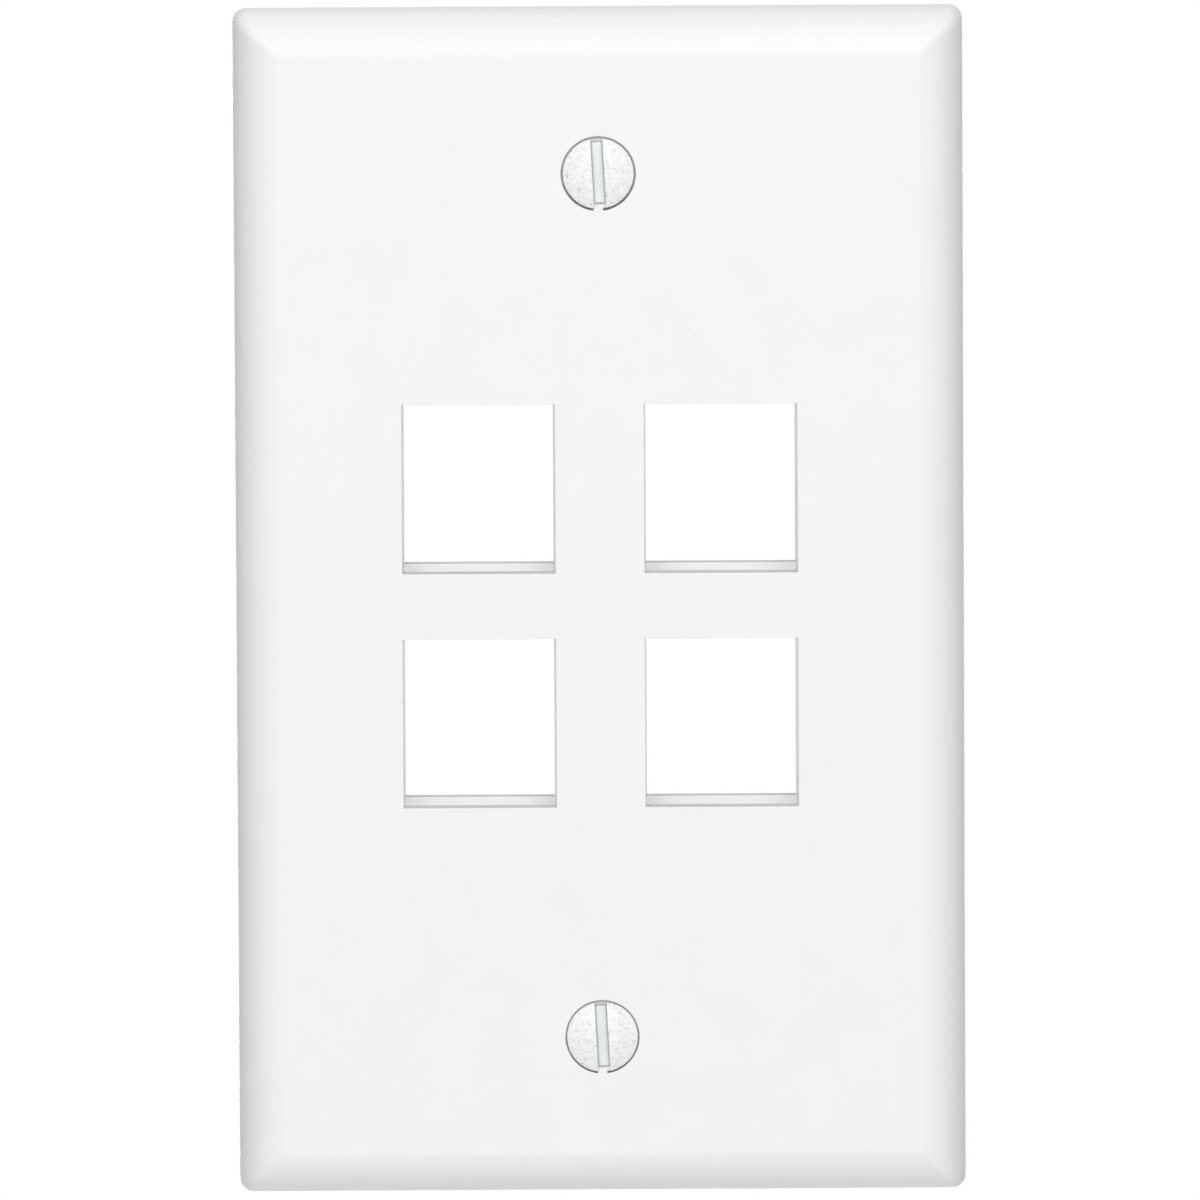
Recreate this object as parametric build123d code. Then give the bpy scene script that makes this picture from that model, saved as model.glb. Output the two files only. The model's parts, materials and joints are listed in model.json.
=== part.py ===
from build123d import *
import os
from math import atan2, cos, degrees, hypot, radians, sin, tan

# Keystone faceplate for one gang: a hollow-backed moulded plate with four keystone ports in
# two columns, and the two oval-head screws that fix it to a wall box. Millimetres.
# Everything is drawn lying on its back: X to the right, Y up the plate, Z out of the wall to
# the front, with the rim in the plane Z = 0. Each piece is then stood up as on the wall, so
# the written solids have +Z up, their front towards -Y and the wall plane at Y = 0.
# Heights are measured out of the wall, and depths from the front face back.

# Outline and section of the plate
plate_width = 69.85
plate_height = 114.3
plate_depth = 5.9
wall = 2.2
corner_r = 1.4
rim_height = 1.7
rim_draft_angle = 1.5
crown_width = 4.2
crease_angle = 10.0
hollow_corner_r = 1.0

# Keystone ports
port_columns = 2
port_rows = 2
port_width = 14.7
port_height = 16.3

# Receptacle behind each port
frame_depth = 9.8
frame_corner = 0.8
frame_chamfer = 0.4
cheek = 1.6
end_wall = 1.6
shared_wall = 1.3
column_gap = 5.3
lug_slot_drop = 1.6
lug_lead_in = 0.5
latch_pocket_start = 4.0
latch_pocket_rise = 3.4
latch_gap = 1.3
latch_ramp = 1.0
ridge_thickness = 1.8

# Pitch of the ports, from what stands between two of them
port_pitch_x = port_width + 2 * cheek + column_gap
port_pitch_y = port_height + lug_slot_drop + shared_wall + latch_pocket_rise

# Ribs on the hollow back
rib_thickness = 1.2
rib_setback = 1.2

# Screws, 25.4 mm from the edge of the head to the tip
screw_pitch = 83.34
screw_length = 25.4
head_r = 3.4
head_crown = 1.05
head_land = 0.1
head_cone_angle = 82.0
neck_r = 1.5
thread_r = 1.75
thread_chamfer = 0.25
tip_chamfer = 0.6
slot_width = 1.15
slot_floor = 0.6
slot_angle = 3.0

# Screw seats: the hole lets the neck turn and is too small for the thread to back out
seat_gap = 0.08
neck_clearance = 0.1
thread_play = 0.3
boss_wall = 2.9
boss_setback = 0.6

# Overrun of every cutting body past the surface that it opens, and sink of what is fused
overrun = 1.0
sink = 0.8

hole_r = neck_r + neck_clearance
cone_run = tan(radians(head_cone_angle / 2))


def crown_arc():
    """The arc that crowns the edge: radius, tilt at the rim, and centre as inset and height."""
    rim_inset = rim_height * tan(radians(rim_draft_angle))
    across = crown_width - rim_inset
    down = plate_depth - rim_height
    half_turn = degrees(atan2(down, across)) - crease_angle
    radius = hypot(across, down) / (2 * sin(radians(half_turn)))
    rim_angle = crease_angle + 2 * half_turn
    centre_inset = crown_width + radius * sin(radians(crease_angle))
    centre_height = plate_depth - radius * cos(radians(crease_angle))
    return radius, rim_angle, centre_inset, centre_height


def section(width, depth, foot):
    """Section across this width, at this depth under the crowned edge and down to this height."""
    radius, rim_angle, centre_inset, centre_height = crown_arc()
    rim, crease = [
        (
            width / 2 - centre_inset + (radius - depth) * sin(radians(angle)),
            centre_height + (radius - depth) * cos(radians(angle)),
        )
        for angle in (rim_angle, crease_angle)
    ]
    foot_reach = rim[0] + (rim[1] - foot) * tan(radians(rim_draft_angle))
    side = [
        Polyline((0, foot), (foot_reach, foot), rim),
        RadiusArc(crease, rim, radius - depth),
        Line(crease, (0, crease[1])),
    ]
    return make_face(side + [mirror(line, Plane.YZ) for line in side])


def crossed(depth, foot, mitre_r):
    """The section across the plate crossed with the one up it, with the mitres rounded."""
    across = extrude(Plane.XZ * section(plate_width, depth, foot), plate_height / 2, both=True)
    upright = extrude(Plane.YZ * section(plate_height, depth, foot), plate_width / 2, both=True)
    form = across & upright
    mitres = form.edges() - form.edges().filter_by(Axis.X) - form.edges().filter_by(Axis.Y)
    return fillet(mitres, mitre_r)


def crowned_block():
    """The plate's outer form: a drafted rim that carries the crowned edge and the flat face."""
    return crossed(0, 0, corner_r)


def hollow():
    """The space behind the face, one wall under the crown and open at the wall plane."""
    return crossed(wall, -overrun, hollow_corner_r)


def ceiling():
    """Height of the flat inner side of the face."""
    return plate_depth - wall * cos(radians(crease_angle))


def raised(sketch, back):
    """Extrude a sketch from this height up into the face, so that the two fuse."""
    return extrude(Pos(0, 0, back) * sketch, ceiling() + sink - back)


def turned(profile):
    """Revolve a half profile, drawn as radius and height, about the axis out of the wall."""
    return revolve(Plane.XZ * make_face(profile), Axis.Z)


def frame_columns():
    """Outer blocks of the receptacles, one for each column of ports."""
    head = port_height / 2 + latch_pocket_rise + end_wall
    foot = port_height / 2 + lug_slot_drop + end_wall
    stack = port_pitch_y * (port_rows - 1)
    block = Rectangle(port_width + 2 * cheek, stack + head + foot)
    column = raised(Pos(0, (head - foot) / 2) * block, plate_depth - frame_depth)
    column = chamfer(column.edges().filter_by(Axis.Z), frame_corner)
    column = chamfer(column.faces().sort_by(Axis.Z)[0].edges(), frame_chamfer)
    return GridLocations(port_pitch_x, 0, port_columns, 1) * column


def port_cavities():
    """All that is open in each port, as one side profile drawn through the port's width.

    Right behind the wall of the face, the lower side drops into the slot for a jack's fixed
    lug. Further back, the upper side steps up into the pocket for the jack's sprung latch. A
    ridge closes each one behind, with a lead-in for the jack, which comes in from the back.
    """
    face_wall = plate_depth - ceiling()
    low = -port_height / 2
    high = port_height / 2
    ridge = frame_depth - ridge_thickness
    catch = high + latch_gap
    profile = Polyline(
        (low, -overrun),
        (low, face_wall),
        (low - lug_slot_drop, face_wall),
        (low - lug_slot_drop, ridge),
        (low, ridge),
        (low, frame_depth - lug_lead_in),
        (low - lug_lead_in, frame_depth),
        (low - lug_lead_in, frame_depth + overrun),
        (catch + latch_ramp, frame_depth + overrun),
        (catch + latch_ramp, frame_depth),
        (catch, frame_depth - latch_ramp),
        (catch, ridge),
        (high + latch_pocket_rise, ridge),
        (high + latch_pocket_rise, latch_pocket_start),
        (high, latch_pocket_start),
        (high, -overrun),
        close=True,
    )
    side = Plane(origin=(port_width / 2, 0, plate_depth), x_dir=(0, 1, 0), z_dir=(-1, 0, 0))
    cavity = extrude(side * make_face(profile), port_width)
    return GridLocations(port_pitch_x, port_pitch_y, port_columns, port_rows) * cavity


def ribs():
    """Ribs across the hollow, in line with the ports' end walls, and one spine up its middle."""
    rib_foot = port_height / 2 + lug_slot_drop + rib_thickness / 2
    rib_head = port_height / 2 + latch_pocket_rise + rib_thickness / 2
    rows = [port_pitch_y * (row - (port_rows - 1) / 2) for row in range(port_rows)]
    levels = [row - rib_foot for row in rows] + [rows[-1] + rib_head]
    across = Rectangle(plate_width - 2 * wall, rib_thickness)
    spine = Rectangle(rib_thickness, plate_height - 2 * wall)
    return [raised(Pos(0, level) * across, rib_setback) for level in levels] + [
        raised(spine, rib_setback)
    ]


def screw_places():
    """The centres of the screws, upper first."""
    return [Pos(0, screw_pitch / 2), Pos(0, -screw_pitch / 2)]


def bosses():
    """Round bosses behind the face, which the screws draw towards the box."""
    boss = raised(Circle(hole_r + boss_wall), boss_setback)
    return [place * boss for place in screw_places()]


def screw_holes():
    """Countersinks, one seat gap wider than the heads, and the holes for the necks."""
    mouth_r = head_r + seat_gap + head_land * cone_run
    throat = plate_depth - (mouth_r - hole_r) / cone_run
    profile = Polyline(
        (0, -overrun),
        (hole_r, -overrun),
        (hole_r, throat),
        (mouth_r, plate_depth),
        (mouth_r, plate_depth + overrun),
        (0, plate_depth + overrun),
        close=True,
    )
    return [place * turned(profile) for place in screw_places()]


def faceplate():
    """The plate, one moulding."""
    body = crowned_block() - hollow()
    body = body + frame_columns() + ribs() + bosses()
    return body - port_cavities() - screw_holes()


def screw():
    """Oval-head slotted screw: crown, land, cone, neck, and the plain form of its thread."""
    cone_end = plate_depth - head_land - (head_r - neck_r) / cone_run
    thread_top = boss_setback - thread_play
    tip = plate_depth - screw_length
    crown = TangentArc((0, plate_depth + head_crown), (head_r, plate_depth), tangent=(1, 0))
    side = Polyline(
        (head_r, plate_depth),
        (head_r, plate_depth - head_land),
        (neck_r, cone_end),
        (neck_r, thread_top),
        (thread_r, thread_top - thread_chamfer),
        (thread_r, tip + tip_chamfer),
        (thread_r - tip_chamfer, tip),
        (0, tip),
        (0, plate_depth + head_crown),
    )
    slot_depth = slot_floor + head_crown + overrun
    floor_up = (Align.CENTER, Align.CENTER, Align.MIN)
    slot = Box(slot_width, 2 * (head_r + overrun), slot_depth, align=floor_up)
    return turned([crown, side]) - Pos(0, 0, plate_depth - slot_floor) * Rot(0, 0, slot_angle) * slot


def stood_up(shape):
    """Stand a piece up on the wall, with its front towards -Y."""
    return Plane.XZ * shape


upper_place, lower_place = screw_places()
nodes = {
    "faceplate": faceplate(),
    "upper_screw": upper_place * screw(),
    "lower_screw": lower_place * screw(),
}

os.makedirs("parts", exist_ok=True)
for name, shape in nodes.items():
    export_step(stood_up(shape), f"parts/{name}.step")
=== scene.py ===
# %% [markdown]
# A keystone faceplate, dressed over its solids
#
# The solids give every size, place and joint. This scene adds what the eye looks for up close:
# the moulded finish, the fine edge radii, and the threads of the screws.

import json
from math import asin, atan2, copysign, cos, degrees, hypot, pi, radians, sin, sqrt, tan

import bmesh
import bpy
from mathutils import Matrix, Vector
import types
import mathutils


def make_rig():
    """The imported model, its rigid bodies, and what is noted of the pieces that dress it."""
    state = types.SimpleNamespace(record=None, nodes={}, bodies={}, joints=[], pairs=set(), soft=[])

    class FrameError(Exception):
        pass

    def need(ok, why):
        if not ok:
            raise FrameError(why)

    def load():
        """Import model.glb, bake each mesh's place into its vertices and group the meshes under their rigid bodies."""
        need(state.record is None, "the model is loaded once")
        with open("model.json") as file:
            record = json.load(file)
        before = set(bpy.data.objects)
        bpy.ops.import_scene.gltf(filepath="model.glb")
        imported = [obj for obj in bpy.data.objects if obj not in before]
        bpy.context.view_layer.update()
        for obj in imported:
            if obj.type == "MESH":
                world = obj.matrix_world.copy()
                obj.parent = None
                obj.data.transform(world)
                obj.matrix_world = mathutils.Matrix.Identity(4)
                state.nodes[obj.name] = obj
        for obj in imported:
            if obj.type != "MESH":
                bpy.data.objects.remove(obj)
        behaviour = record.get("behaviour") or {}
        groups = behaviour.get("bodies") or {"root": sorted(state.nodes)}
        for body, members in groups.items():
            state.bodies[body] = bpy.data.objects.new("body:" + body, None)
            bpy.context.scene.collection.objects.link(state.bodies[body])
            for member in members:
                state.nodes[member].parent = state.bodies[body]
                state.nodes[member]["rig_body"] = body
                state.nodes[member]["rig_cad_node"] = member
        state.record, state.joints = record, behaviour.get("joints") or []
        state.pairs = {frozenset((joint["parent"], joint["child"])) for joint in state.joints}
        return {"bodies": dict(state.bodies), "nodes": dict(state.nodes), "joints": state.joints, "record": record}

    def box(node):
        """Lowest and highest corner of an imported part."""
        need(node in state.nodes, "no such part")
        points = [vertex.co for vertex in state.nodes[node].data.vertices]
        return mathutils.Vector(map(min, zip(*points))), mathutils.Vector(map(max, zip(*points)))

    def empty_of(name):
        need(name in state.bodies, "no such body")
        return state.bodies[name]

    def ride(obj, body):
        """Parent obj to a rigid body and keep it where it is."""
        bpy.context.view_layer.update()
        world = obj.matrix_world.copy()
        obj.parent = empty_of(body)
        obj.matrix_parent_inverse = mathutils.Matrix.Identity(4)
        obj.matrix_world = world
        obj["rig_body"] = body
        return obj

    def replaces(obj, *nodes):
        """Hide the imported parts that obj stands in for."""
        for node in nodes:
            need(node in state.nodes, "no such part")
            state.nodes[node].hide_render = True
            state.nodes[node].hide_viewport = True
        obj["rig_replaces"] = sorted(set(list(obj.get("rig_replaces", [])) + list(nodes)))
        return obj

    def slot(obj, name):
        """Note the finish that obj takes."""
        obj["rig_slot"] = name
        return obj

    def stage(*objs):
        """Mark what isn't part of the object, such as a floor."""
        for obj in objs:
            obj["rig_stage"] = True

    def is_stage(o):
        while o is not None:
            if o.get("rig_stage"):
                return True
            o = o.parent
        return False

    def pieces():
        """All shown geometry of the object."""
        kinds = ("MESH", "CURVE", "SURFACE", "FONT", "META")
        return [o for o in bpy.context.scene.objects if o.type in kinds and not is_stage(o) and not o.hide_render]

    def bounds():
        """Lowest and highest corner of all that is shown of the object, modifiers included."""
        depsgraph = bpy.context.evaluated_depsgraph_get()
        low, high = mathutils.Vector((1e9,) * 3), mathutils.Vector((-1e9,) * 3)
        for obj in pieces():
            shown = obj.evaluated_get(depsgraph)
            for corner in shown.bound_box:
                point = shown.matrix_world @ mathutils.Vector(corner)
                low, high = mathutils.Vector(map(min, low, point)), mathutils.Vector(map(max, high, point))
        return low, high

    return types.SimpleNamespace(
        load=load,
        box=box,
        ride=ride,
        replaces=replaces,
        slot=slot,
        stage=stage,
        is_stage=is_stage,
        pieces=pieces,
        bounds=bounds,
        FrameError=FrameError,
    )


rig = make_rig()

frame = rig.load()
cad_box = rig.bounds()
print("solids:", sorted(frame["nodes"]), "box:", [list(corner) for corner in cad_box])

# %% [markdown]
# Sizes. Everything is drawn in millimetres, lying on its back: X to the right, Y up the plate
# and Z out of the wall, so a height is measured from the wall. One matrix then stands the
# finished mesh up and turns it into metres. What the solids can tell is read from them. Each
# smaller size stands in the cell that first needs it.

# %% Sizes read from the solids
MM = 0.001
STAND_UP = Matrix.Rotation(radians(90), 4, "X") @ Matrix.Scale(MM, 4)

plate_low, plate_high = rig.box("faceplate")
screw_low, screw_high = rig.box("upper_screw")
plate_width = (plate_high.x - plate_low.x) / MM
plate_height = (plate_high.z - plate_low.z) / MM
plate_depth = -plate_low.y / MM
frame_depth = (plate_high.y - plate_low.y) / MM
screw_pitch = (screw_high.z + screw_low.z) / MM
head_r = (screw_high.x - screw_low.x) / 2 / MM
tip_height = -screw_high.y / MM
print("plate", round(plate_width, 2), round(plate_height, 2), "screws", round(screw_pitch, 2), "apart")

# %% [markdown]
# Small helpers. Each piece starts as a bmesh, which is a mesh that its operators can still
# change. A rounded outline is a square whose corners are cut by a vertex bevel. A skin is a stack
# of such outlines with neighbours bridged, which is how a loft is made from mesh tools. Turned
# shapes are a half profile that is spun about Z. What the plate has two or four of is drawn once
# at the middle, and then spread to its spots.

# %% Outlines, skins, turned shapes and blocks
corner_segments = 12
spin_steps = 72
weld = 0.0005


def outline(mesh, width, height, level, radius):
    """One flat rounded rectangle, as a face."""
    before = set(mesh.faces)
    corners = bmesh.ops.create_grid(mesh, x_segments=1, y_segments=1, size=0.5)["verts"]
    bmesh.ops.scale(mesh, vec=(width, height, 1), verts=corners)
    bmesh.ops.translate(mesh, vec=(0, 0, level), verts=corners)
    if radius:
        bmesh.ops.bevel(mesh, geom=corners, offset=radius, offset_type="OFFSET", affect="VERTICES",
                        segments=corner_segments, profile=0.5, material=-1, clamp_overlap=False)
    return (set(mesh.faces) - before).pop()


def skin(mesh, outlines):
    """Bridge each outline to the next. The faces of the first and last ones close the ends."""
    loops = [list(face.edges) for face in outlines]
    bmesh.ops.delete(mesh, geom=outlines[1:-1], context="FACES_ONLY")
    for one, other in zip(loops, loops[1:]):
        bmesh.ops.bridge_loops(mesh, edges=one + other)


def spun(mesh, profile, steps=spin_steps):
    """Turn a half profile, given as radius and height, about the Z axis."""
    points = [mesh.verts.new((radius, 0, height)) for radius, height in profile]
    edges = [mesh.edges.new(pair) for pair in zip(points, points[1:])]
    bmesh.ops.spin(mesh, geom=points + edges, cent=(0, 0, 0), axis=(0, 0, 1), dvec=(0, 0, 0),
                   angle=2 * pi, steps=steps, use_merge=True, use_duplicate=False)
    bmesh.ops.remove_doubles(mesh, verts=mesh.verts, dist=weld)


def block(mesh, width, height, low, high, centre=(0, 0)):
    """A box between two heights. Its vertical edges and those of its lower end are returned."""
    size = Matrix.Diagonal((width, height, high - low, 1))
    place = Matrix.Translation((*centre, (low + high) / 2))
    made = bmesh.ops.create_cube(mesh, size=1, matrix=place @ size)["verts"]
    edges = {edge for vert in made for edge in vert.link_edges}
    upright = [edge for edge in edges if abs(edge.verts[0].co.z - edge.verts[1].co.z) > weld]
    foot = [edge for edge in edges if max(vert.co.z for vert in edge.verts) < low + weld]
    return upright, foot


def rounded(mesh, edges, radius, segments=3):
    """Round some edges with a bevel."""
    bmesh.ops.bevel(mesh, geom=edges, offset=radius, offset_type="OFFSET", affect="EDGES",
                    segments=segments, profile=0.5, material=-1, clamp_overlap=True)


def arc(centre, radius, start, end, steps):
    """Points on an arc from one angle to another, in degrees from the first axis."""
    turns = [radians(start + (end - start) * step / steps) for step in range(steps + 1)]
    return [(centre[0] + radius * cos(turn), centre[1] + radius * sin(turn)) for turn in turns]


def spread(mesh, spots):
    """Move a form to the first of some spots, and copy it to the others."""
    bmesh.ops.recalc_face_normals(mesh, faces=mesh.faces)
    first = mesh.verts[:] + mesh.edges[:] + mesh.faces[:]
    forms = [first] + [bmesh.ops.duplicate(mesh, geom=first)["geom"] for spot in spots[1:]]
    for (across, up), form in zip(spots, forms):
        verts = [item for item in form if isinstance(item, bmesh.types.BMVert)]
        bmesh.ops.translate(mesh, vec=(across, up, 0), verts=verts)


# %% [markdown]
# A Boolean modifier joins or cuts two closed meshes, as in the solids. The exact solver is slower
# than the others and copes with faces that lie in one plane, which a moulding is full of. Each
# tool is an object of its own for as long as the cut takes.

# %% Objects, Booleans and the finished mesh
def piece_from(mesh, name):
    """Close a bmesh and make it an object, with its faces outwards."""
    bmesh.ops.remove_doubles(mesh, verts=mesh.verts, dist=weld)
    bmesh.ops.recalc_face_normals(mesh, faces=mesh.faces)
    data = bpy.data.meshes.new(name)
    mesh.to_mesh(data)
    mesh.free()
    made = bpy.data.objects.new(name, data)
    bpy.context.scene.collection.objects.link(made)
    return made


def settle(piece):
    """Make what the modifiers give the piece's own mesh."""
    evaluated = piece.evaluated_get(bpy.context.evaluated_depsgraph_get())
    data = bpy.data.meshes.new_from_object(evaluated)
    piece.modifiers.clear()
    piece.data = data


def combine(piece, operation, mesh):
    """Join a bmesh to a piece, or cut it from it."""
    tool = piece_from(mesh, piece.name + "_tool")
    cut = piece.modifiers.new("cut", "BOOLEAN")
    cut.operation = operation
    cut.solver = "EXACT"
    cut.object = tool
    settle(piece)
    bpy.data.objects.remove(tool)


def in_triangles(piece):
    """Split a piece's faces into triangles, which are flat, as the exact solver needs them."""
    mesh = bmesh.new()
    mesh.from_mesh(piece.data)
    bmesh.ops.triangulate(mesh, faces=mesh.faces)
    mesh.to_mesh(piece.data)
    mesh.free()


def open_edges(piece):
    """How many edges don't join exactly two faces. A closed piece has none."""
    mesh = bmesh.new()
    mesh.from_mesh(piece.data)
    count = sum(1 for edge in mesh.edges if not edge.is_manifold)
    mesh.free()
    return count


def stand(piece, body, node, slot, sharp_angle=35.0):
    """Smooth a piece, stand it up in metres, and let it ride in the place of its solid."""
    mesh = bmesh.new()
    mesh.from_mesh(piece.data)
    bmesh.ops.remove_doubles(mesh, verts=mesh.verts, dist=weld)
    bmesh.ops.dissolve_degenerate(mesh, edges=mesh.edges, dist=weld)
    bmesh.ops.transform(mesh, matrix=STAND_UP, verts=mesh.verts)
    for face in mesh.faces:
        face.smooth = True
    mesh.to_mesh(piece.data)
    mesh.free()
    piece.data.set_sharp_from_angle(angle=radians(sharp_angle))
    flats = piece.modifiers.new("keep flats flat", "WEIGHTED_NORMAL")
    flats.keep_sharp = True
    flats.weight = 100
    settle(piece)
    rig.ride(piece, body)
    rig.replaces(piece, node)
    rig.slot(piece, slot)
    print(piece.name, len(piece.data.polygons), "faces,", open_edges(piece), "open edges")


# %% [markdown]
# The plate's shell. The real edge is an arc that starts as a faint crease, ten degrees from the
# flat face, and ends steeply on a low drafted rim. A bevel gives only arcs that meet both faces
# smoothly, so the edge is a skin over outlines instead: each is set in and raised by the arc's
# own formula. The hollow is the same arc, one wall deeper.

# %% The crown's arc
wall = 2.2
rim_height = 1.7
rim_draft_angle = 1.5
crown_width = 4.2
crease_angle = 10.0
rim_inset = rim_height * tan(radians(rim_draft_angle))
crown_rise = plate_depth - rim_height
half_turn = degrees(atan2(crown_rise, crown_width - rim_inset)) - crease_angle
crown_r = hypot(crown_rise, crown_width - rim_inset) / (2 * sin(radians(half_turn)))
rim_angle = crease_angle + 2 * half_turn
centre_inset = crown_width + crown_r * sin(radians(crease_angle))
centre_height = plate_depth - crown_r * cos(radians(crease_angle))
ceiling = plate_depth - wall * cos(radians(crease_angle))
print("crown radius", round(crown_r, 2), "rim angle", round(rim_angle, 1), "ceiling", round(ceiling, 2))


def mitre_r(ball_r, angle):
    """Corner radius of an outline where a ball rounds the mitre of two sides with this tilt."""
    return ball_r * sin(angle) / sqrt(1 + cos(angle) ** 2)


def crown_outlines(mesh, depth, ball_r, steps, last_angle):
    """Outlines up the crowned edge, this far under its surface, to where it has this tilt."""
    made = []
    for step in range(steps + 1):
        share = step / steps
        angle = radians(rim_angle + share * (last_angle - rim_angle))
        inset = centre_inset - (crown_r - depth) * sin(angle)
        level = centre_height + (crown_r - depth) * cos(angle)
        made.append(outline(mesh, plate_width - 2 * inset, plate_height - 2 * inset, level,
                            mitre_r(ball_r, angle)))
    return made


# %% The outer form
corner_r = 1.4
crease_softness = 0.25
crown_steps = 28
crease_steps = 6
foot_r = 0.15
foot_arc = arc((0, 0), foot_r, -90, 0, 3)

shell = bmesh.new()
foot = [
    outline(shell, plate_width - 2 * foot_r + 2 * across, plate_height - 2 * foot_r + 2 * across,
            foot_r + up, corner_r)
    for across, up in foot_arc
]
soft_angle = crease_angle + degrees(crease_softness / crown_r)
crown = crown_outlines(shell, 0, corner_r, crown_steps, soft_angle)
soft_inset = centre_inset - crown_r * sin(radians(soft_angle))
soft_drop = plate_depth - centre_height - crown_r * cos(radians(soft_angle))
crease_r = soft_drop / (1 - cos(radians(soft_angle)))
crease = []
for step in range(1, crease_steps + 1):
    angle = radians(soft_angle * (1 - step / crease_steps))
    inset = soft_inset + crease_r * (sin(radians(soft_angle)) - sin(angle))
    level = plate_depth - crease_r * (1 - cos(angle))
    crease.append(outline(shell, plate_width - 2 * inset, plate_height - 2 * inset, level,
                          mitre_r(corner_r, radians(soft_angle))))
skin(shell, foot + crown + crease)
plate = piece_from(shell, "faceplate_moulding")

# %% The hollow, cut out of it
hollow_corner_r = 1.0
hollow_steps = 12
overrun = 1.0
hollow = bmesh.new()
hollow_inset = centre_inset - (crown_r - wall) * sin(radians(rim_angle))
mouth_inset = hollow_inset - foot_r
mouth = [
    outline(hollow, plate_width - 2 * inset, plate_height - 2 * inset, level, hollow_corner_r)
    for inset, level in (
        (mouth_inset, -overrun),
        *((mouth_inset + across, foot_r + up) for across, up in foot_arc),
    )
]
skin(hollow, mouth + crown_outlines(hollow, wall, hollow_corner_r, hollow_steps, crease_angle))
combine(plate, "DIFFERENCE", hollow)
print("shell:", len(plate.data.polygons), "faces,", open_edges(plate), "open edges")

# %% [markdown]
# Behind the face stand the two blocks that hold the jacks, three ribs across in line with the
# ports' end walls, a spine, and a round boss for each screw. They rise into the face, so the
# Boolean has no skin of air between them. Mould makers round such edges, and so does the bevel.

# %% Where the ports are
port_places = 11.6
port_levels = 11.3
port_width = 14.7
port_height = 16.3
port_spots = [(across * port_places, up * port_levels) for across in (-1, 1) for up in (-1, 1)]
print("ports, each", port_width, "by", port_height, "at", port_spots)

# %% Blocks behind the ports
cheek = 1.6
end_wall = 1.6
lug_slot_drop = 1.6
latch_pocket_rise = 3.4
frame_corner_r = 0.8
frame_edge_r = 0.3
sink = 0.8
stack_head = port_levels + port_height / 2 + latch_pocket_rise + end_wall
stack_foot = port_levels + port_height / 2 + lug_slot_drop + end_wall
frame_back = plate_depth - frame_depth

columns = bmesh.new()
for side in (-1, 1):
    upright, _ = block(
        columns, port_width + 2 * cheek, stack_head + stack_foot, frame_back, ceiling + sink,
        (side * port_places, (stack_head - stack_foot) / 2),
    )
    rounded(columns, upright, frame_corner_r, 5)
back_edges = [
    edge for edge in columns.edges
    if max(vert.co.z for vert in edge.verts) < frame_back + weld and len(edge.link_faces) == 2
]
rounded(columns, back_edges, frame_edge_r)
combine(plate, "UNION", columns)
print("with its blocks:", len(plate.data.polygons), "faces")

# %% Ribs and spine
rib_thickness = 1.2
rib_setback = 1.2
rib_edge_r = 0.25
wall_clearance = 0.3
rib_width = plate_width - 2 * (wall - wall_clearance)
spine_height = plate_height - 2 * (wall - wall_clearance)
rib_levels = [
    -port_levels - port_height / 2 - lug_slot_drop - rib_thickness / 2,
    port_levels - port_height / 2 - lug_slot_drop - rib_thickness / 2,
    port_levels + port_height / 2 + latch_pocket_rise + rib_thickness / 2,
]
across_ribs = bmesh.new()
for level in rib_levels:
    _, foot_edges = block(across_ribs, rib_width, rib_thickness, rib_setback, ceiling + sink, (0, level))
    rounded(across_ribs, foot_edges, rib_edge_r)
combine(plate, "UNION", across_ribs)

spine = bmesh.new()
_, foot_edges = block(spine, rib_thickness, spine_height, rib_setback, ceiling + sink)
rounded(spine, foot_edges, rib_edge_r)
combine(plate, "UNION", spine)
print("with its ribs:", len(plate.data.polygons), "faces")

# %% Bosses
boss_r = 4.5
boss_setback = 0.6
boss_edge_r = 0.3
screw_spots = [(0, screw_pitch / 2), (0, -screw_pitch / 2)]
bosses = bmesh.new()
spun(bosses, [
    (0, boss_setback),
    *arc((boss_r - boss_edge_r, boss_setback + boss_edge_r), boss_edge_r, -90, 0, 4),
    (boss_r, ceiling + sink),
    (0, ceiling + sink),
])
spread(bosses, screw_spots)
combine(plate, "UNION", bosses)
print("with its bosses:", len(plate.data.polygons), "faces")

# %% [markdown]
# A port is one side profile drawn through the port's width. Below, right behind the wall of the
# face, the passage drops into the slot for the jack's fixed lug, and above it rises into the
# pocket for the sprung latch. A ridge closes each one behind, and its lit front face is the pale
# band in the lower edge of each port; its colour is also painted lighter, as painted light. The
# sides draw in by a degree towards the back, so that the mould comes out, and both of them show
# from the front. The mouth has a tiny radius.

# %% A port's side profile, as height and depth
lug_lead_in = 0.3
latch_pocket_start = 4.0
latch_gap = 1.3
latch_ramp = 1.0
ridge_thickness = 1.8
low = -port_height / 2
high = port_height / 2
ridge = frame_depth - ridge_thickness
catch = high + latch_gap
port_profile = [
    (low, -overrun),
    (low, plate_depth - ceiling),
    (low - lug_slot_drop, plate_depth - ceiling),
    (low - lug_slot_drop, ridge),
    (low, ridge),
    (low, frame_depth - lug_lead_in),
    (low - lug_lead_in, frame_depth),
    (low - lug_lead_in, frame_depth + overrun),
    (catch + latch_ramp, frame_depth + overrun),
    (catch + latch_ramp, frame_depth),
    (catch, frame_depth - latch_ramp),
    (catch, ridge),
    (high + latch_pocket_rise, ridge),
    (high + latch_pocket_rise, latch_pocket_start),
    (high, latch_pocket_start),
    (high, -overrun),
]
print("a port's profile has", len(port_profile), "corners, and its ridges start", round(ridge, 2), "deep")

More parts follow.
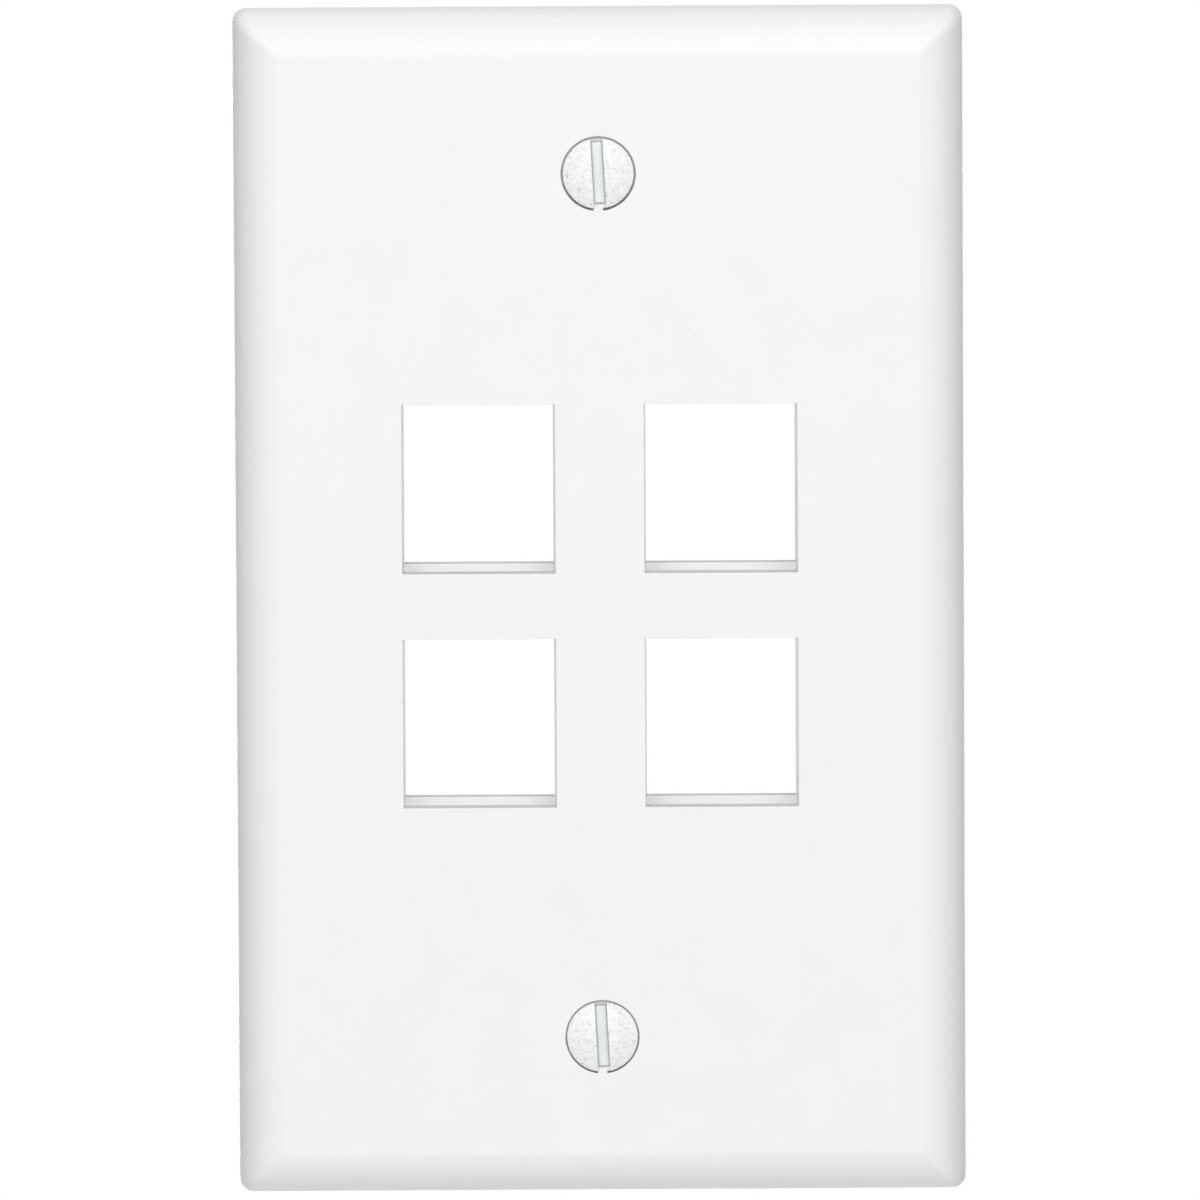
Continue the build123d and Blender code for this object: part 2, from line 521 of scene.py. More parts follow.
# %% The passages
port_draft_angle = 1.1
edge_r = 0.1
passage = bmesh.new()
points = [passage.verts.new((-port_width / 2, up, plate_depth - depth)) for up, depth in port_profile]
passage.faces.new(points)
bmesh.ops.bevel(passage, geom=points, offset=edge_r, offset_type="OFFSET", affect="VERTICES",
                segments=3, profile=0.5, material=-1, clamp_overlap=True)
extruded = bmesh.ops.extrude_face_region(passage, geom=passage.faces[:])["geom"]
far_side = [item for item in extruded if isinstance(item, bmesh.types.BMVert)]
bmesh.ops.translate(passage, vec=(port_width, 0, 0), verts=far_side)
for vert in passage.verts:
    vert.co.x -= copysign((plate_depth - vert.co.z) * tan(radians(port_draft_angle)), vert.co.x)
spread(passage, port_spots)
combine(plate, "DIFFERENCE", passage)
print("with its passages:", len(plate.data.polygons), "faces")

# %% The rounded lips of their mouths
lip_r = 0.06
mouths = bmesh.new()
lip = [(lip_r, -overrun)] + [
    (lip_r + across, lip_r + up) for across, up in arc((0, 0), lip_r, -90, -180, 4)
] + [(-lip_r, 2 * lip_r)]
throat = [
    outline(mouths, port_width + 2 * out, port_height + 2 * out, plate_depth - depth, 0)
    for out, depth in lip
]
skin(mouths, throat)
spread(mouths, port_spots)
combine(plate, "DIFFERENCE", mouths)
print("with its ports:", len(plate.data.polygons), "faces,", open_edges(plate), "open edges")

# %% [markdown]
# The screw holes are turned cuts: a countersink a little wider than the head, and a hole that
# lets the neck turn. The countersink has a tiny lip, and a ring part way down its wall, above
# which the dust and the painted shadow of the gap will show.

# %% Sizes of the screw holes
head_land = 0.1
head_cone_angle = 82.0
neck_r = 1.5
seat_gap = 0.08
neck_clearance = 0.1
hole_r = neck_r + neck_clearance
cone_run = tan(radians(head_cone_angle / 2))
mouth_r = head_r + seat_gap + head_land * cone_run
mouth_lip = 0.05
mouth_lip_drop = mouth_lip / 3
dark_ring_depth = 0.24
hole_chamfer = 0.2
head_steps = 96
throat_height = plate_depth - (mouth_r - hole_r) / cone_run
print("countersinks", round(2 * mouth_r, 2), "across, holes", round(2 * hole_r, 2))

# %% The holes, cut out of the plate
holes = bmesh.new()
spun(holes, [
    (0, -overrun),
    (hole_r + hole_chamfer, -overrun),
    (hole_r + hole_chamfer, boss_setback),
    (hole_r, boss_setback + hole_chamfer),
    (hole_r, throat_height),
    (mouth_r - dark_ring_depth * cone_run, plate_depth - dark_ring_depth),
    (mouth_r - mouth_lip * cone_run, plate_depth - mouth_lip),
    (mouth_r, plate_depth - mouth_lip_drop),
    (mouth_r + mouth_lip, plate_depth),
    (mouth_r + mouth_lip, plate_depth + overrun),
    (0, plate_depth + overrun),
], head_steps)
spread(holes, screw_spots)
combine(plate, "DIFFERENCE", holes)
stand(plate, "faceplate", "faceplate", "plate_plastic")

# %% [markdown]
# A screw. Its head and neck are one turned shape. The thread is a short profile, one pitch
# tall, that is spun and lifted at each step, so one turn meets the next. Real threads are rolled
# on a blank with a tapered start, and cutting the endless thread to such a blank with a Boolean
# gives the same fading ends.

# %% Sizes of the thread
inch = 25.4
turns_per_inch = 32
thread_pitch = inch / turns_per_inch
thread_r = 1.75
root_r = 1.3
crest_flat_share = 0.14
root_flat_share = 0.2
thread_top = 0.3
run_out = 0.5
tip_chamfer = 0.6
crest_play = 0.1
thread_steps = 32
thread_spare_turns = 4
thread_weld = 0.002
print("thread from", round(tip_height, 1), "to", thread_top, "mm, pitch", round(thread_pitch, 3))


# %% The threaded shank
def thread_cutter():
    """An endless thread, cut flat at both ends and closed."""
    thread = bmesh.new()
    flank = (1 - crest_flat_share - root_flat_share) / 2
    heights = [0, root_flat_share, root_flat_share + flank, 1 - flank, 1]
    radii = [root_r, root_r, thread_r, thread_r, root_r]
    turns = int((thread_top - tip_height) / thread_pitch) + thread_spare_turns
    start = tip_height - thread_spare_turns / 2 * thread_pitch
    points = [
        thread.verts.new((radius, 0, start + height * thread_pitch)) for radius, height in zip(radii, heights)
    ]
    edges = [thread.edges.new(pair) for pair in zip(points, points[1:])]
    bmesh.ops.spin(thread, geom=points + edges, cent=(0, 0, 0), axis=(0, 0, 1),
                   dvec=(0, 0, thread_pitch / thread_steps), angle=2 * pi * turns,
                   steps=thread_steps * turns, use_merge=False, use_duplicate=False)
    bmesh.ops.remove_doubles(thread, verts=thread.verts, dist=thread_weld)
    for height, way in ((tip_height - overrun / 2, -1), (thread_top + overrun / 4, 1)):
        cut = bmesh.ops.bisect_plane(thread, geom=thread.verts[:] + thread.edges[:] + thread.faces[:],
                                     dist=weld, plane_co=(0, 0, height), plane_no=(0, 0, way),
                                     clear_outer=True)["geom_cut"]
        end = [item for item in cut if isinstance(item, bmesh.types.BMEdge)]
        bmesh.ops.contextual_create(thread, geom=end)
    return thread


def blank():
    """The blank that the thread is rolled on, a little wider than its crests."""
    mesh = bmesh.new()
    wide = thread_r + crest_play
    spun(mesh, [
        (0, tip_height),
        (thread_r - tip_chamfer, tip_height),
        (wide, tip_height + tip_chamfer + crest_play),
        (wide, thread_top - run_out),
        (root_r, thread_top),
        (0, thread_top),
    ])
    return mesh


# %% Sizes of the head and its slot
head_crown = 1.05
head_edge_r = 0.05
dome_steps = 20
dome_short_angle = 1.0
neck_fillet_r = 0.2
neck_fillet_drop = 0.12
neck_end_drop = 0.15
neck_root_drop = 0.4
root_play = 0.02
slot_width = 1.15
slot_floor = 0.6
slot_angle = 3.0
slot_lip = 0.07
slot_lip_shares = (0, 0.15, 0.35, 0.6, 1)
print("head", round(2 * head_r, 2), "across, slot", slot_width, "wide, its floor", slot_floor, "down")


# %% The head and neck
def head_and_neck():
    """The turned head and neck, with the slot's rolled lips already drawn down."""
    mesh = bmesh.new()
    dome_r = (head_r ** 2 + head_crown ** 2) / (2 * head_crown)
    edge_turn = degrees(asin(head_r / dome_r))
    cone_end = plate_depth - head_land - (head_r - neck_r) / cone_run
    dome_centre = (0, plate_depth + head_crown - dome_r)
    dome = arc(dome_centre, dome_r, 90, 90 - edge_turn + dome_short_angle, dome_steps)
    dome[0] = (0, plate_depth + head_crown)
    fillet_centre = (neck_r + neck_fillet_r, cone_end - neck_fillet_drop)
    spun(mesh, [
        *dome,
        *arc((head_r - head_edge_r, plate_depth - head_edge_r / 2), head_edge_r, 60, 0, 3),
        (head_r, plate_depth - head_land),
        *arc(fillet_centre, neck_fillet_r, 180 - head_cone_angle / 2, 180, 3),
        (neck_r, thread_top - neck_end_drop),
        (root_r - root_play, thread_top - neck_root_drop),
        (0, thread_top - neck_root_drop),
    ], head_steps)
    for share in slot_lip_shares:
        for side in (-1, 1):
            top = [face for face in mesh.faces if face.calc_center_median().z > plate_depth - head_edge_r]
            geom = {item for face in top for item in (*face.verts, *face.edges)}
            lip_edge = (side * (slot_width / 2 + share * slot_lip), 0, 0)
            bmesh.ops.bisect_plane(mesh, geom=top + list(geom), dist=weld, plane_co=lip_edge,
                                   plane_no=(1, 0, 0))
    for vert in mesh.verts:
        beyond = abs(vert.co.x) - slot_width / 2
        if vert.co.z > plate_depth - head_edge_r and beyond < slot_lip:
            vert.co.z -= slot_lip - sqrt(slot_lip ** 2 - (slot_lip - max(beyond, 0)) ** 2)
    return mesh


def slot_cut():
    """The slot's cutter, from the slot's floor up and past the head."""
    mesh = bmesh.new()
    block(mesh, slot_width, 2 * (head_r + overrun), plate_depth - slot_floor, plate_depth + 2 * head_crown)
    return mesh


# %% Both screws
screw_sharp_angle = 40.0


def screw(name, node, spot):
    """One screw, in its hole."""
    made = piece_from(thread_cutter(), name)
    combine(made, "INTERSECT", blank())
    in_triangles(made)
    combine(made, "UNION", head_and_neck())
    combine(made, "DIFFERENCE", slot_cut())
    made.data.transform(Matrix.Translation((*spot, 0)) @ Matrix.Rotation(radians(slot_angle), 4, "Z"))
    stand(made, node, node, "screw_steel", screw_sharp_angle)
    return made


upper_spot, lower_spot = screw_spots
screws = [
    screw("upper_mounting_screw", "upper_screw", upper_spot),
    screw("lower_mounting_screw", "lower_screw", lower_spot),
]

# %% [markdown]
# Materials. Each is a small network on the Principled shader, with colours written as sRGB hex
# and turned to linear by one function. Patterns read Object coordinates, which are metres here,
# so a noise of so many millimetres is a scale of one over that length.


# %% Colours and nodes
def linear(code):
    """An sRGB hex colour as the linear colour that a shader takes."""
    shares = [int(code[place:place + 2], 16) / 255 for place in (1, 3, 5)]
    return (
        *(share / 12.92 if share <= 0.04045 else ((share + 0.055) / 1.055) ** 2.4 for share in shares), 1
    )


def per_mm(length):
    """The scale of a pattern whose marks are this many millimetres wide."""
    return 1 / (length * MM)


def add(tree, kind, values=None, links=None, **settings):
    """Add a node, set its options and sockets, and link what feeds it."""
    node = tree.nodes.new(kind)
    for name, value in settings.items():
        setattr(node, name, value)
    for name, value in (values or {}).items():
        node.inputs[name].default_value = value
    for name, socket in (links or {}).items():
        tree.links.new(socket, node.inputs[name])
    return node


def new_material(name):
    """An empty material with its output."""
    made = bpy.data.materials.new(name)
    made.use_nodes = True
    made.node_tree.nodes.clear()
    return made, made.node_tree, made.node_tree.nodes.new("ShaderNodeOutputMaterial")


# %% [markdown]
# The plate is moulded ABS, off-white, with the fine satin of a spark-eroded mould: it scatters
# light softly and still gives a faint sheen at low angles. The cores that form the ports are cut
# coarser, so the walls in there hardly shine, and their colour is painted lighter than the face's,
# as painted light. A film of dust, together with painted shade, greys what faces up in there. The
# colour drifts a little over a few millimetres, as in any moulding. The real texture is too fine to
# show in the render, so its grain is drawn a third of a millimetre wide. Two specks of dust lie
# on the face.

# %% Moulded ABS
dust_specks = {"beside the upper port": (9.25, 26.0, 0.13), "on the middle line": (0.2, 22.5, 0.09)}


def moulded_abs(name, darker, lighter, smoothest, roughest, sheen):
    """ABS that drifts between two colours and two values of roughness, with this much sheen."""
    made, tree, output = new_material(name)
    place = add(tree, "ShaderNodeTexCoord").outputs["Object"]
    drift = add(tree, "ShaderNodeTexNoise", {"Scale": per_mm(6), "Detail": 3.0, "Roughness": 0.55},
                {"Vector": place})
    colour = add(tree, "ShaderNodeMix", {"A": linear(darker), "B": linear(lighter)},
                 {"Factor": drift.outputs["Fac"]}, data_type="RGBA").outputs["Result"]
    for across, up, radius in dust_specks.values():
        spot = (across * MM, -plate_depth * MM, up * MM)
        away = add(tree, "ShaderNodeVectorMath", {1: spot}, {0: place}, operation="DISTANCE")
        near = add(tree, "ShaderNodeMapRange", {"From Min": radius * MM, "From Max": radius * MM / 3},
                   {"Value": away.outputs["Value"]})
        colour = add(tree, "ShaderNodeMix", {"B": linear("#D8D8D6")},
                     {"Factor": near.outputs["Result"], "A": colour}, data_type="RGBA").outputs["Result"]
    grain = add(tree, "ShaderNodeTexNoise", {"Scale": per_mm(0.35), "Detail": 2.0}, {"Vector": place})
    waves = add(tree, "ShaderNodeTexNoise", {"Scale": per_mm(3.0), "Detail": 1.0}, {"Vector": place})
    relief = add(tree, "ShaderNodeBump", {"Strength": 0.25, "Distance": 0.01 * MM},
                 {"Height": grain.outputs["Fac"]})
    relief = add(tree, "ShaderNodeBump", {"Strength": 0.08, "Distance": 0.03 * MM},
                 {"Height": waves.outputs["Fac"], "Normal": relief.outputs["Normal"]})
    rough = add(tree, "ShaderNodeMapRange", {"To Min": smoothest, "To Max": roughest},
                {"Value": grain.outputs["Fac"]})
    shader = add(tree, "ShaderNodeBsdfPrincipled", {"IOR": 1.53, "Specular IOR Level": sheen}, {
        "Base Color": colour, "Roughness": rough.outputs["Result"], "Normal": relief.outputs["Normal"],
    })
    tree.links.new(shader.outputs["BSDF"], output.inputs["Surface"])
    return made


for finish in (
    ("moulded_abs_satin_white", "#F2F2F0", "#F6F6F4", 0.48, 0.56, 0.5),
    # Painted light: the ports' walls and ridges are drawn lighter than the face.
    ("moulded_abs_coarse_painted_lighter_in_the_ports", "#FAFAF8", "#FCFCFB", 0.8, 0.9, 0.25),
    # Dust and painted shade: the ports' up-facing ledges are drawn darker.
    ("dust_and_painted_shade_on_abs_ledges", "#D6D6D3", "#E0E0DD", 0.8, 0.9, 0.25),
):
    plate.data.materials.append(moulded_abs(*finish))

# %% [markdown]
# Dust in the narrow gap round each head, together with painted shadow, draws a dark ring there.
# It is darker below, which is painted shadow. Both screws share one pattern: wrapping the height
# by the distance between them gives the height above the nearer screw. The ring is left out below
# the slot, where the countersink's wall shows through the slot's end and is lit from above.

# %% Dust and painted shadow in the gap round each head
def above_screw(tree, place):
    """The height above the nearer screw, and how far a point is to the right of it."""
    parts = add(tree, "ShaderNodeSeparateXYZ", None, {"Vector": place}).outputs
    half = screw_pitch / 2 * MM
    raised = add(tree, "ShaderNodeMath", {1: half}, {0: parts["Z"]}, operation="ADD").outputs["Value"]
    height = add(tree, "ShaderNodeMath", {1: half, 2: -half}, {0: raised}, operation="WRAP")
    return height.outputs["Value"], parts["X"]


gap_r = 3.5
gap_dust_and_shadow, tree, output = new_material("dust_and_painted_shadow_in_the_gap")
place = add(tree, "ShaderNodeTexCoord").outputs["Object"]
height, across = above_screw(tree, place)
darker_below = add(tree, "ShaderNodeMapRange",
              {"From Min": -gap_r * MM, "From Max": gap_r * MM, "To Min": -0.25, "To Max": 0.75},
              {"Value": height})
clumps = add(tree, "ShaderNodeTexNoise", {"Scale": per_mm(0.4), "Detail": 2.0}, {"Vector": place})
share = add(tree, "ShaderNodeMath", None, {0: darker_below.outputs["Result"], 1: clumps.outputs["Fac"]},
            operation="ADD", use_clamp=True)
# The dark end of this mix is dust and painted shadow; it is darkest below, as painted shadow.
colour = add(tree, "ShaderNodeMix", {"A": linear("#4C4A48"), "B": linear("#B4B3B0")},
             {"Factor": share.outputs["Value"]}, data_type="RGBA").outputs["Result"]
shader = add(tree, "ShaderNodeBsdfPrincipled", {"Roughness": 0.8, "IOR": 1.53}, {"Base Color": colour})
tree.links.new(shader.outputs["BSDF"], output.inputs["Surface"])
plate.data.materials.append(gap_dust_and_shadow)

# %% Each face of the plate gets its finish by its place
SATIN, COARSE_PAINTED_LIGHTER, LEDGE_DUST_AND_SHADE, DUST_AND_SHADOW = range(4)
lit_notch_half_width = 0.5
facing = 0.5


def plate_finish(face):
    """Which finish a face of the plate has."""
    across = face.center.x / MM
    depth = plate_depth + face.center.y / MM
    up = face.center.z / MM
    screw_up = copysign(screw_pitch / 2, up)
    from_screw = hypot(across, up - screw_up)
    from_port = max(abs(abs(across) - port_places) - port_width / 2,
                    abs(abs(up) - port_levels) - port_height / 2)
    # The lip's outer faces lie right at this limit, so rounding leaves about half of them without the dark ring of
    # dust and painted shadow.
    if mouth_lip_drop / 2 < depth < dark_ring_depth and from_screw < mouth_r + mouth_lip / 2:
        lit_below_slot = abs(across) < lit_notch_half_width and up < screw_up
        return SATIN if lit_below_slot else DUST_AND_SHADOW
    # Up-facing ledges take dust and painted shade; the other port walls are painted lighter, as painted light.
    if from_port < weld and lip_r < depth < frame_depth - lip_r and abs(face.normal.y) < facing:
        return LEDGE_DUST_AND_SHADE if face.normal.z > facing else COARSE_PAINTED_LIGHTER
    # The ridges' front faces are painted lighter too, as painted light.
    if abs(depth - ridge) < weld and face.normal.y < -facing:
        return COARSE_PAINTED_LIGHTER
    return SATIN


for face in plate.data.polygons:
    face.material_index = plate_finish(face)
print("faces of each finish:", [sum(1 for face in plate.data.polygons if face.material_index == index)
                                for index in range(len(plate.data.materials))])

# %% [markdown]
# The screws are zinc-plated steel with white enamel on the head. The enamel is thin, so it
# follows the pitted steel: a bump of small pits, and grey specks where the deepest ones show. In
# the slot it is thinner and greyer, with grime and painted shade along the foot of both walls and
# at its lower end.

# %% Enamelled head
enamel, tree, output = new_material("white_enamel_on_steel")
place = add(tree, "ShaderNodeTexCoord").outputs["Object"]
pits = add(tree, "ShaderNodeTexNoise", {"Scale": per_mm(0.45), "Detail": 4.0, "Roughness": 0.6},
           {"Vector": place})
deep = add(tree, "ShaderNodeMapRange", {"From Min": 0.38, "From Max": 0.31}, {"Value": pits.outputs["Fac"]})
patches = add(tree, "ShaderNodeTexNoise", {"Scale": per_mm(0.3), "Detail": 3.0}, {"Vector": place})
thin = add(tree, "ShaderNodeMapRange", {"From Min": 0.45, "From Max": 0.65},
           {"Value": patches.outputs["Fac"]})
colour = add(tree, "ShaderNodeMix", {"A": linear("#FBFBFA"), "B": linear("#EAEAE9")},
             {"Factor": thin.outputs["Result"]}, data_type="RGBA").outputs["Result"]
colour = add(tree, "ShaderNodeMix", {"B": linear("#B9BCC0")},
             {"Factor": deep.outputs["Result"], "A": colour}, data_type="RGBA").outputs["Result"]
relief = add(tree, "ShaderNodeBump", {"Strength": 0.5, "Distance": 0.05 * MM},
             {"Height": pits.outputs["Fac"]})
shader = add(tree, "ShaderNodeBsdfPrincipled", {"Roughness": 0.35, "IOR": 1.5},
             {"Base Color": colour, "Normal": relief.outputs["Normal"]})
tree.links.new(shader.outputs["BSDF"], output.inputs["Surface"])

# %% Thin enamel in the slot
wall_grime_and_shade_starts = 0.2
wall_grime_and_shade_is_full = 0.05
end_grime_and_shade_starts = 0.22
end_grime_and_shade_is_full = 0.08
floor_end = head_r - (slot_floor - head_land) * cone_run
thin_enamel, tree, output = new_material("thin_enamel_in_the_slot")
place = add(tree, "ShaderNodeTexCoord").outputs["Object"]
runs = add(tree, "ShaderNodeTexNoise", {"Scale": per_mm(0.8), "Detail": 2.0}, {"Vector": place})
colour = add(tree, "ShaderNodeMix", {"A": linear("#EAEEF0"), "B": linear("#F3F5F6")},
             {"Factor": runs.outputs["Fac"]}, data_type="RGBA").outputs["Result"]
height, across = above_screw(tree, place)
leaning = add(tree, "ShaderNodeMath", {1: sin(radians(slot_angle))}, {0: height}, operation="MULTIPLY")
off_line = add(tree, "ShaderNodeMath", {1: cos(radians(slot_angle))},
               {0: across, 2: leaning.outputs["Value"]}, operation="MULTIPLY_ADD")
off_line = add(tree, "ShaderNodeMath", None, {0: off_line.outputs["Value"]}, operation="ABSOLUTE")
at_wall = add(tree, "ShaderNodeMapRange", {
    "From Min": (slot_width / 2 - wall_grime_and_shade_starts) * MM, "From Max": (slot_width / 2 - wall_grime_and_shade_is_full) * MM,
}, {"Value": off_line.outputs["Value"]})
at_end = add(tree, "ShaderNodeMapRange", {
    "From Min": (end_grime_and_shade_starts - floor_end) * MM, "From Max": (end_grime_and_shade_is_full - floor_end) * MM,
}, {"Value": height})
grime_and_painted_shade = add(tree, "ShaderNodeMath", None, {0: at_wall.outputs["Result"], 1: at_end.outputs["Result"]},
            operation="MAXIMUM")
# This grey is grime and painted shade along the foot of both walls and at the floor's lower end.
colour = add(tree, "ShaderNodeMix", {"B": linear("#B2B6B8")},
             {"Factor": grime_and_painted_shade.outputs["Value"], "A": colour}, data_type="RGBA").outputs["Result"]
relief = add(tree, "ShaderNodeBump", {"Strength": 0.3, "Distance": 0.02 * MM},
             {"Height": runs.outputs["Fac"]})
shader = add(tree, "ShaderNodeBsdfPrincipled", {"Roughness": 0.45, "IOR": 1.5},
             {"Base Color": colour, "Normal": relief.outputs["Normal"]})
tree.links.new(shader.outputs["BSDF"], output.inputs["Surface"])

# %% [markdown]
# Zinc plating is a thin bright metal coat. On small screws it is slightly blue and cloudy, and a
# little rough, so that it mirrors the tent as soft streaks along the thread.

# %% Zinc plating
zinc, tree, output = new_material("zinc_plated_steel")
place = add(tree, "ShaderNodeTexCoord").outputs["Object"]
cloud = add(tree, "ShaderNodeTexNoise", {"Scale": per_mm(0.8), "Detail": 3.0}, {"Vector": place})
colour = add(tree, "ShaderNodeMix", {"A": linear("#AEB4BA"), "B": linear("#C8CDD2")},
             {"Factor": cloud.outputs["Fac"]}, data_type="RGBA").outputs["Result"]
rough = add(tree, "ShaderNodeMapRange", {"To Min": 0.3, "To Max": 0.45}, {"Value": cloud.outputs["Fac"]})
relief = add(tree, "ShaderNodeBump", {"Strength": 0.3, "Distance": 0.01 * MM},
             {"Height": cloud.outputs["Fac"]})
shader = add(tree, "ShaderNodeBsdfPrincipled", {"Metallic": 1.0},
             {"Base Color": colour, "Roughness": rough.outputs["Result"], "Normal": relief.outputs["Normal"]})
tree.links.new(shader.outputs["BSDF"], output.inputs["Surface"])

# %% Enamel on the face of each head, zinc elsewhere
ZINC, ENAMEL, THIN_ENAMEL = range(3)
floor_gap = 0.01
floor_facing = 0.99
wall_facing = 0.3
inner_share = 0.95


def screw_finish(face):
    """Which finish a face of a screw has."""
    depth = plate_depth + face.center.y / MM
    from_axis = hypot(face.center.x, abs(face.center.z) - screw_pitch / 2 * MM) / MM
    if face.normal.y < -floor_facing and abs(depth - slot_floor) < floor_gap:
        return THIN_ENAMEL
    in_slot = abs(face.normal.y) < wall_facing and from_axis < inner_share * head_r and depth < slot_floor
    return ENAMEL if in_slot or depth < head_land else ZINC


for made in screws:
    made.data.materials.clear()
    for material in (zinc, enamel, thin_enamel):
        made.data.materials.append(material)
    for face in made.data.polygons:
        face.material_index = screw_finish(face)
    print(made.name, sum(1 for face in made.data.polygons if face.material_index != ZINC), "enamelled faces")

# %% [markdown]
# The stage: a plain pale floor below the plate, and a white world. The world's white is for what
# the camera and reflections see. What lights the object is a light tent, whose front, top and
# bottom glow and whose sides and back are dark, so that the crowned edge darkens towards its left
# and right outline, and the sills of the ports are darker than the face, as in the photograph. A
# wide lamp in front and above adds the sheen along the top of the crown, a weak one in front and
# below lifts its lower edge, and one behind lights the back.

# %% Floor
floor_level = -0.3
floor_r = 0.9
floor_mesh = bmesh.new()
bmesh.ops.create_circle(floor_mesh, cap_ends=True, segments=96, radius=floor_r)
bmesh.ops.translate(floor_mesh, vec=(0, 0, floor_level), verts=floor_mesh.verts)
floor = piece_from(floor_mesh, "floor")
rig.stage(floor)
pale, tree, output = new_material("pale_floor")
path = add(tree, "ShaderNodeLightPath")
matt = add(tree, "ShaderNodeBsdfDiffuse", {"Color": linear("#EDEDED")})
glow = add(tree, "ShaderNodeEmission", {"Color": linear("#FFFFFF")},
           {"Strength": path.outputs["Is Camera Ray"]})
both = add(tree, "ShaderNodeAddShader", None, {0: matt.outputs["BSDF"], 1: glow.outputs["Emission"]})
tree.links.new(both.outputs["Shader"], output.inputs["Surface"])
floor.data.materials.append(pale)

# %% [markdown]
# The world's Generated coordinates are the direction in which one looks, as a vector of length
# one. Its squares add up to one, so they share out the glow between the sides, the ends and the
# two faces of the tent, and one more lobe makes the front brighter than the back.

# %% World
sides_glow = 0.0
front_glow = 0.93
back_glow = 0.1
ends_glow = 0.88
world = bpy.data.worlds.new("light_tent")
bpy.context.scene.world = world
world.use_nodes = True
tree = world.node_tree
tree.nodes.clear()
output = add(tree, "ShaderNodeOutputWorld")
path = add(tree, "ShaderNodeLightPath")
seen = add(tree, "ShaderNodeMath", None,
           {0: path.outputs["Is Camera Ray"], 1: path.outputs["Is Glossy Ray"]}, operation="MAXIMUM")
seen = add(tree, "ShaderNodeMath", None,
           {0: seen.outputs["Value"], 1: path.outputs["Is Transmission Ray"]}, operation="MAXIMUM")
way = add(tree, "ShaderNodeTexCoord").outputs["Generated"]
squares = add(tree, "ShaderNodeVectorMath", None, {0: way, 1: way}, operation="MULTIPLY")
evenly = add(tree, "ShaderNodeVectorMath", {1: (sides_glow, back_glow, ends_glow)},
             {0: squares.outputs["Vector"]}, operation="DOT_PRODUCT")
along = add(tree, "ShaderNodeSeparateXYZ", None, {"Vector": way}).outputs["Y"]
ahead = add(tree, "ShaderNodeMath", {1: -1.0}, {0: along}, operation="MULTIPLY", use_clamp=True)
lobe = add(tree, "ShaderNodeMath", None, {0: ahead.outputs["Value"], 1: ahead.outputs["Value"]},
           operation="MULTIPLY")
glow = add(tree, "ShaderNodeMath", {1: front_glow - back_glow},
           {0: lobe.outputs["Value"], 2: evenly.outputs["Value"]}, operation="MULTIPLY_ADD")
soft = add(tree, "ShaderNodeBackground", {"Color": linear("#FFFFFF")}, {"Strength": glow.outputs["Value"]})
white = add(tree, "ShaderNodeBackground", {"Color": linear("#FFFFFF"), "Strength": 1.0})
mixed = add(tree, "ShaderNodeMixShader", None,
            {0: seen.outputs["Value"], 1: soft.outputs["Background"], 2: white.outputs["Background"]})
tree.links.new(mixed.outputs["Shader"], output.inputs["Surface"])
print("tent: front", front_glow, "back", back_glow, "ends", ends_glow, "sides", sides_glow)


# %% Lamps
def lamp(name, place, size, power):
    """A soft oblong lamp that looks at the middle of the plate."""
    light = bpy.data.lights.new(name, "AREA")
    light.shape = "RECTANGLE"
    light.size, light.size_y = size
    light.energy = power
    made = bpy.data.objects.new(name, light)
    made.location = place
    made.rotation_euler = (-Vector(place)).to_track_quat("-Z", "Y").to_euler()
    bpy.context.scene.collection.objects.link(made)
    print(name, "at", place, "with", power, "watts")


lamp("key", (0.0, -0.8, 0.56), (0.6, 0.35), 3.1)
lamp("low_fill", (0.0, -0.9, -0.25), (0.6, 0.2), 0.7)
lamp("back_key", (0.0, 0.8, -0.12), (0.5, 0.3), 3.4)

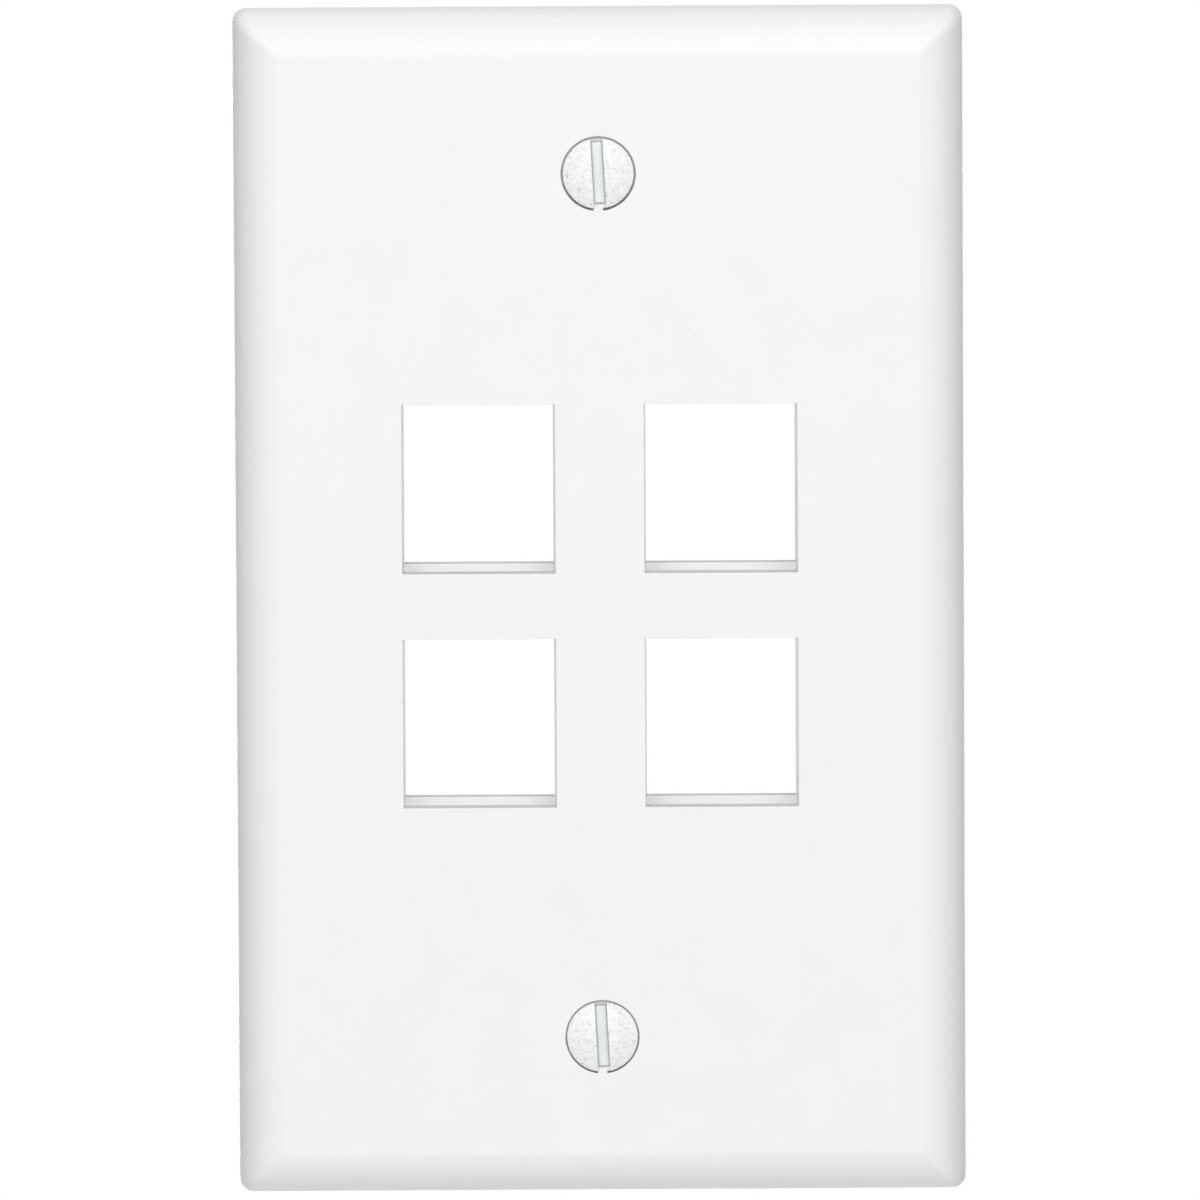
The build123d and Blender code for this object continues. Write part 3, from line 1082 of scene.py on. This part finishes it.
# %% [markdown]
# The camera stands straight in front and a little above, far off with a long lens, as in the
# photograph. Its lens follows from one measure: how many pixels wide a millimetre on the face is,
# in a frame of 1200 pixels.

# %% Camera
frame_pixels = 1200
pixels_per_mm = 10.446
sensor = 36.0
camera_distance = 2500.0
camera_elevation = 7.4
camera_azimuth = -0.2
camera_roll = -0.288
aim = Vector((-0.03, -plate_depth, 0.59)) * MM

camera = bpy.data.objects.new("camera", bpy.data.cameras.new("camera"))
bpy.context.scene.collection.objects.link(camera)
bpy.context.scene.camera = camera
camera.data.sensor_width = sensor
camera.data.lens = pixels_per_mm * camera_distance * sensor / frame_pixels
camera.data.clip_start = 0.05
camera.data.clip_end = 20.0
turn = (
    Matrix.Rotation(radians(camera_azimuth), 4, "Z")
    @ Matrix.Rotation(radians(90 - camera_elevation), 4, "X")
)
camera.matrix_world = (
    Matrix.Translation(aim) @ turn @ Matrix.Translation((0, 0, camera_distance * MM))
    @ Matrix.Rotation(radians(camera_roll), 4, "Z")
)
bpy.context.scene.view_settings.view_transform = "Standard"


# %% Where the plate and the screws lie in the picture
middle_band = 150


def pixel(point):
    """Where a point of the scene lies in the photograph's square frame."""
    x, y, z = camera.matrix_world.inverted() @ point
    scale = camera.data.lens / sensor * frame_pixels / -z
    return frame_pixels / 2 + x * scale, frame_pixels / 2 - y * scale


bpy.context.view_layer.update()
spots = [pixel(vert.co) for vert in plate.data.vertices]
middle = [across for across, down in spots if abs(down - frame_pixels / 2) < middle_band]
downs = [down for across, down in spots]
print("outline in pixels: left", round(min(middle), 1), "right", round(max(middle), 1),
      "top", round(min(downs), 1), "bottom", round(max(downs), 1))
for made, (across, up) in zip(screws, screw_spots):
    front = Vector((across, -plate_depth, up)) * MM
    print(made.name, "at", [round(value, 1) for value in pixel(front)])

# %% The boxes of the solids and of the scene, side by side
json.dump({"cad": [list(corner) for corner in cad_box], "visual": [list(corner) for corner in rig.bounds()]},
          open("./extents.json", "w"))
print(open("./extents.json").read())
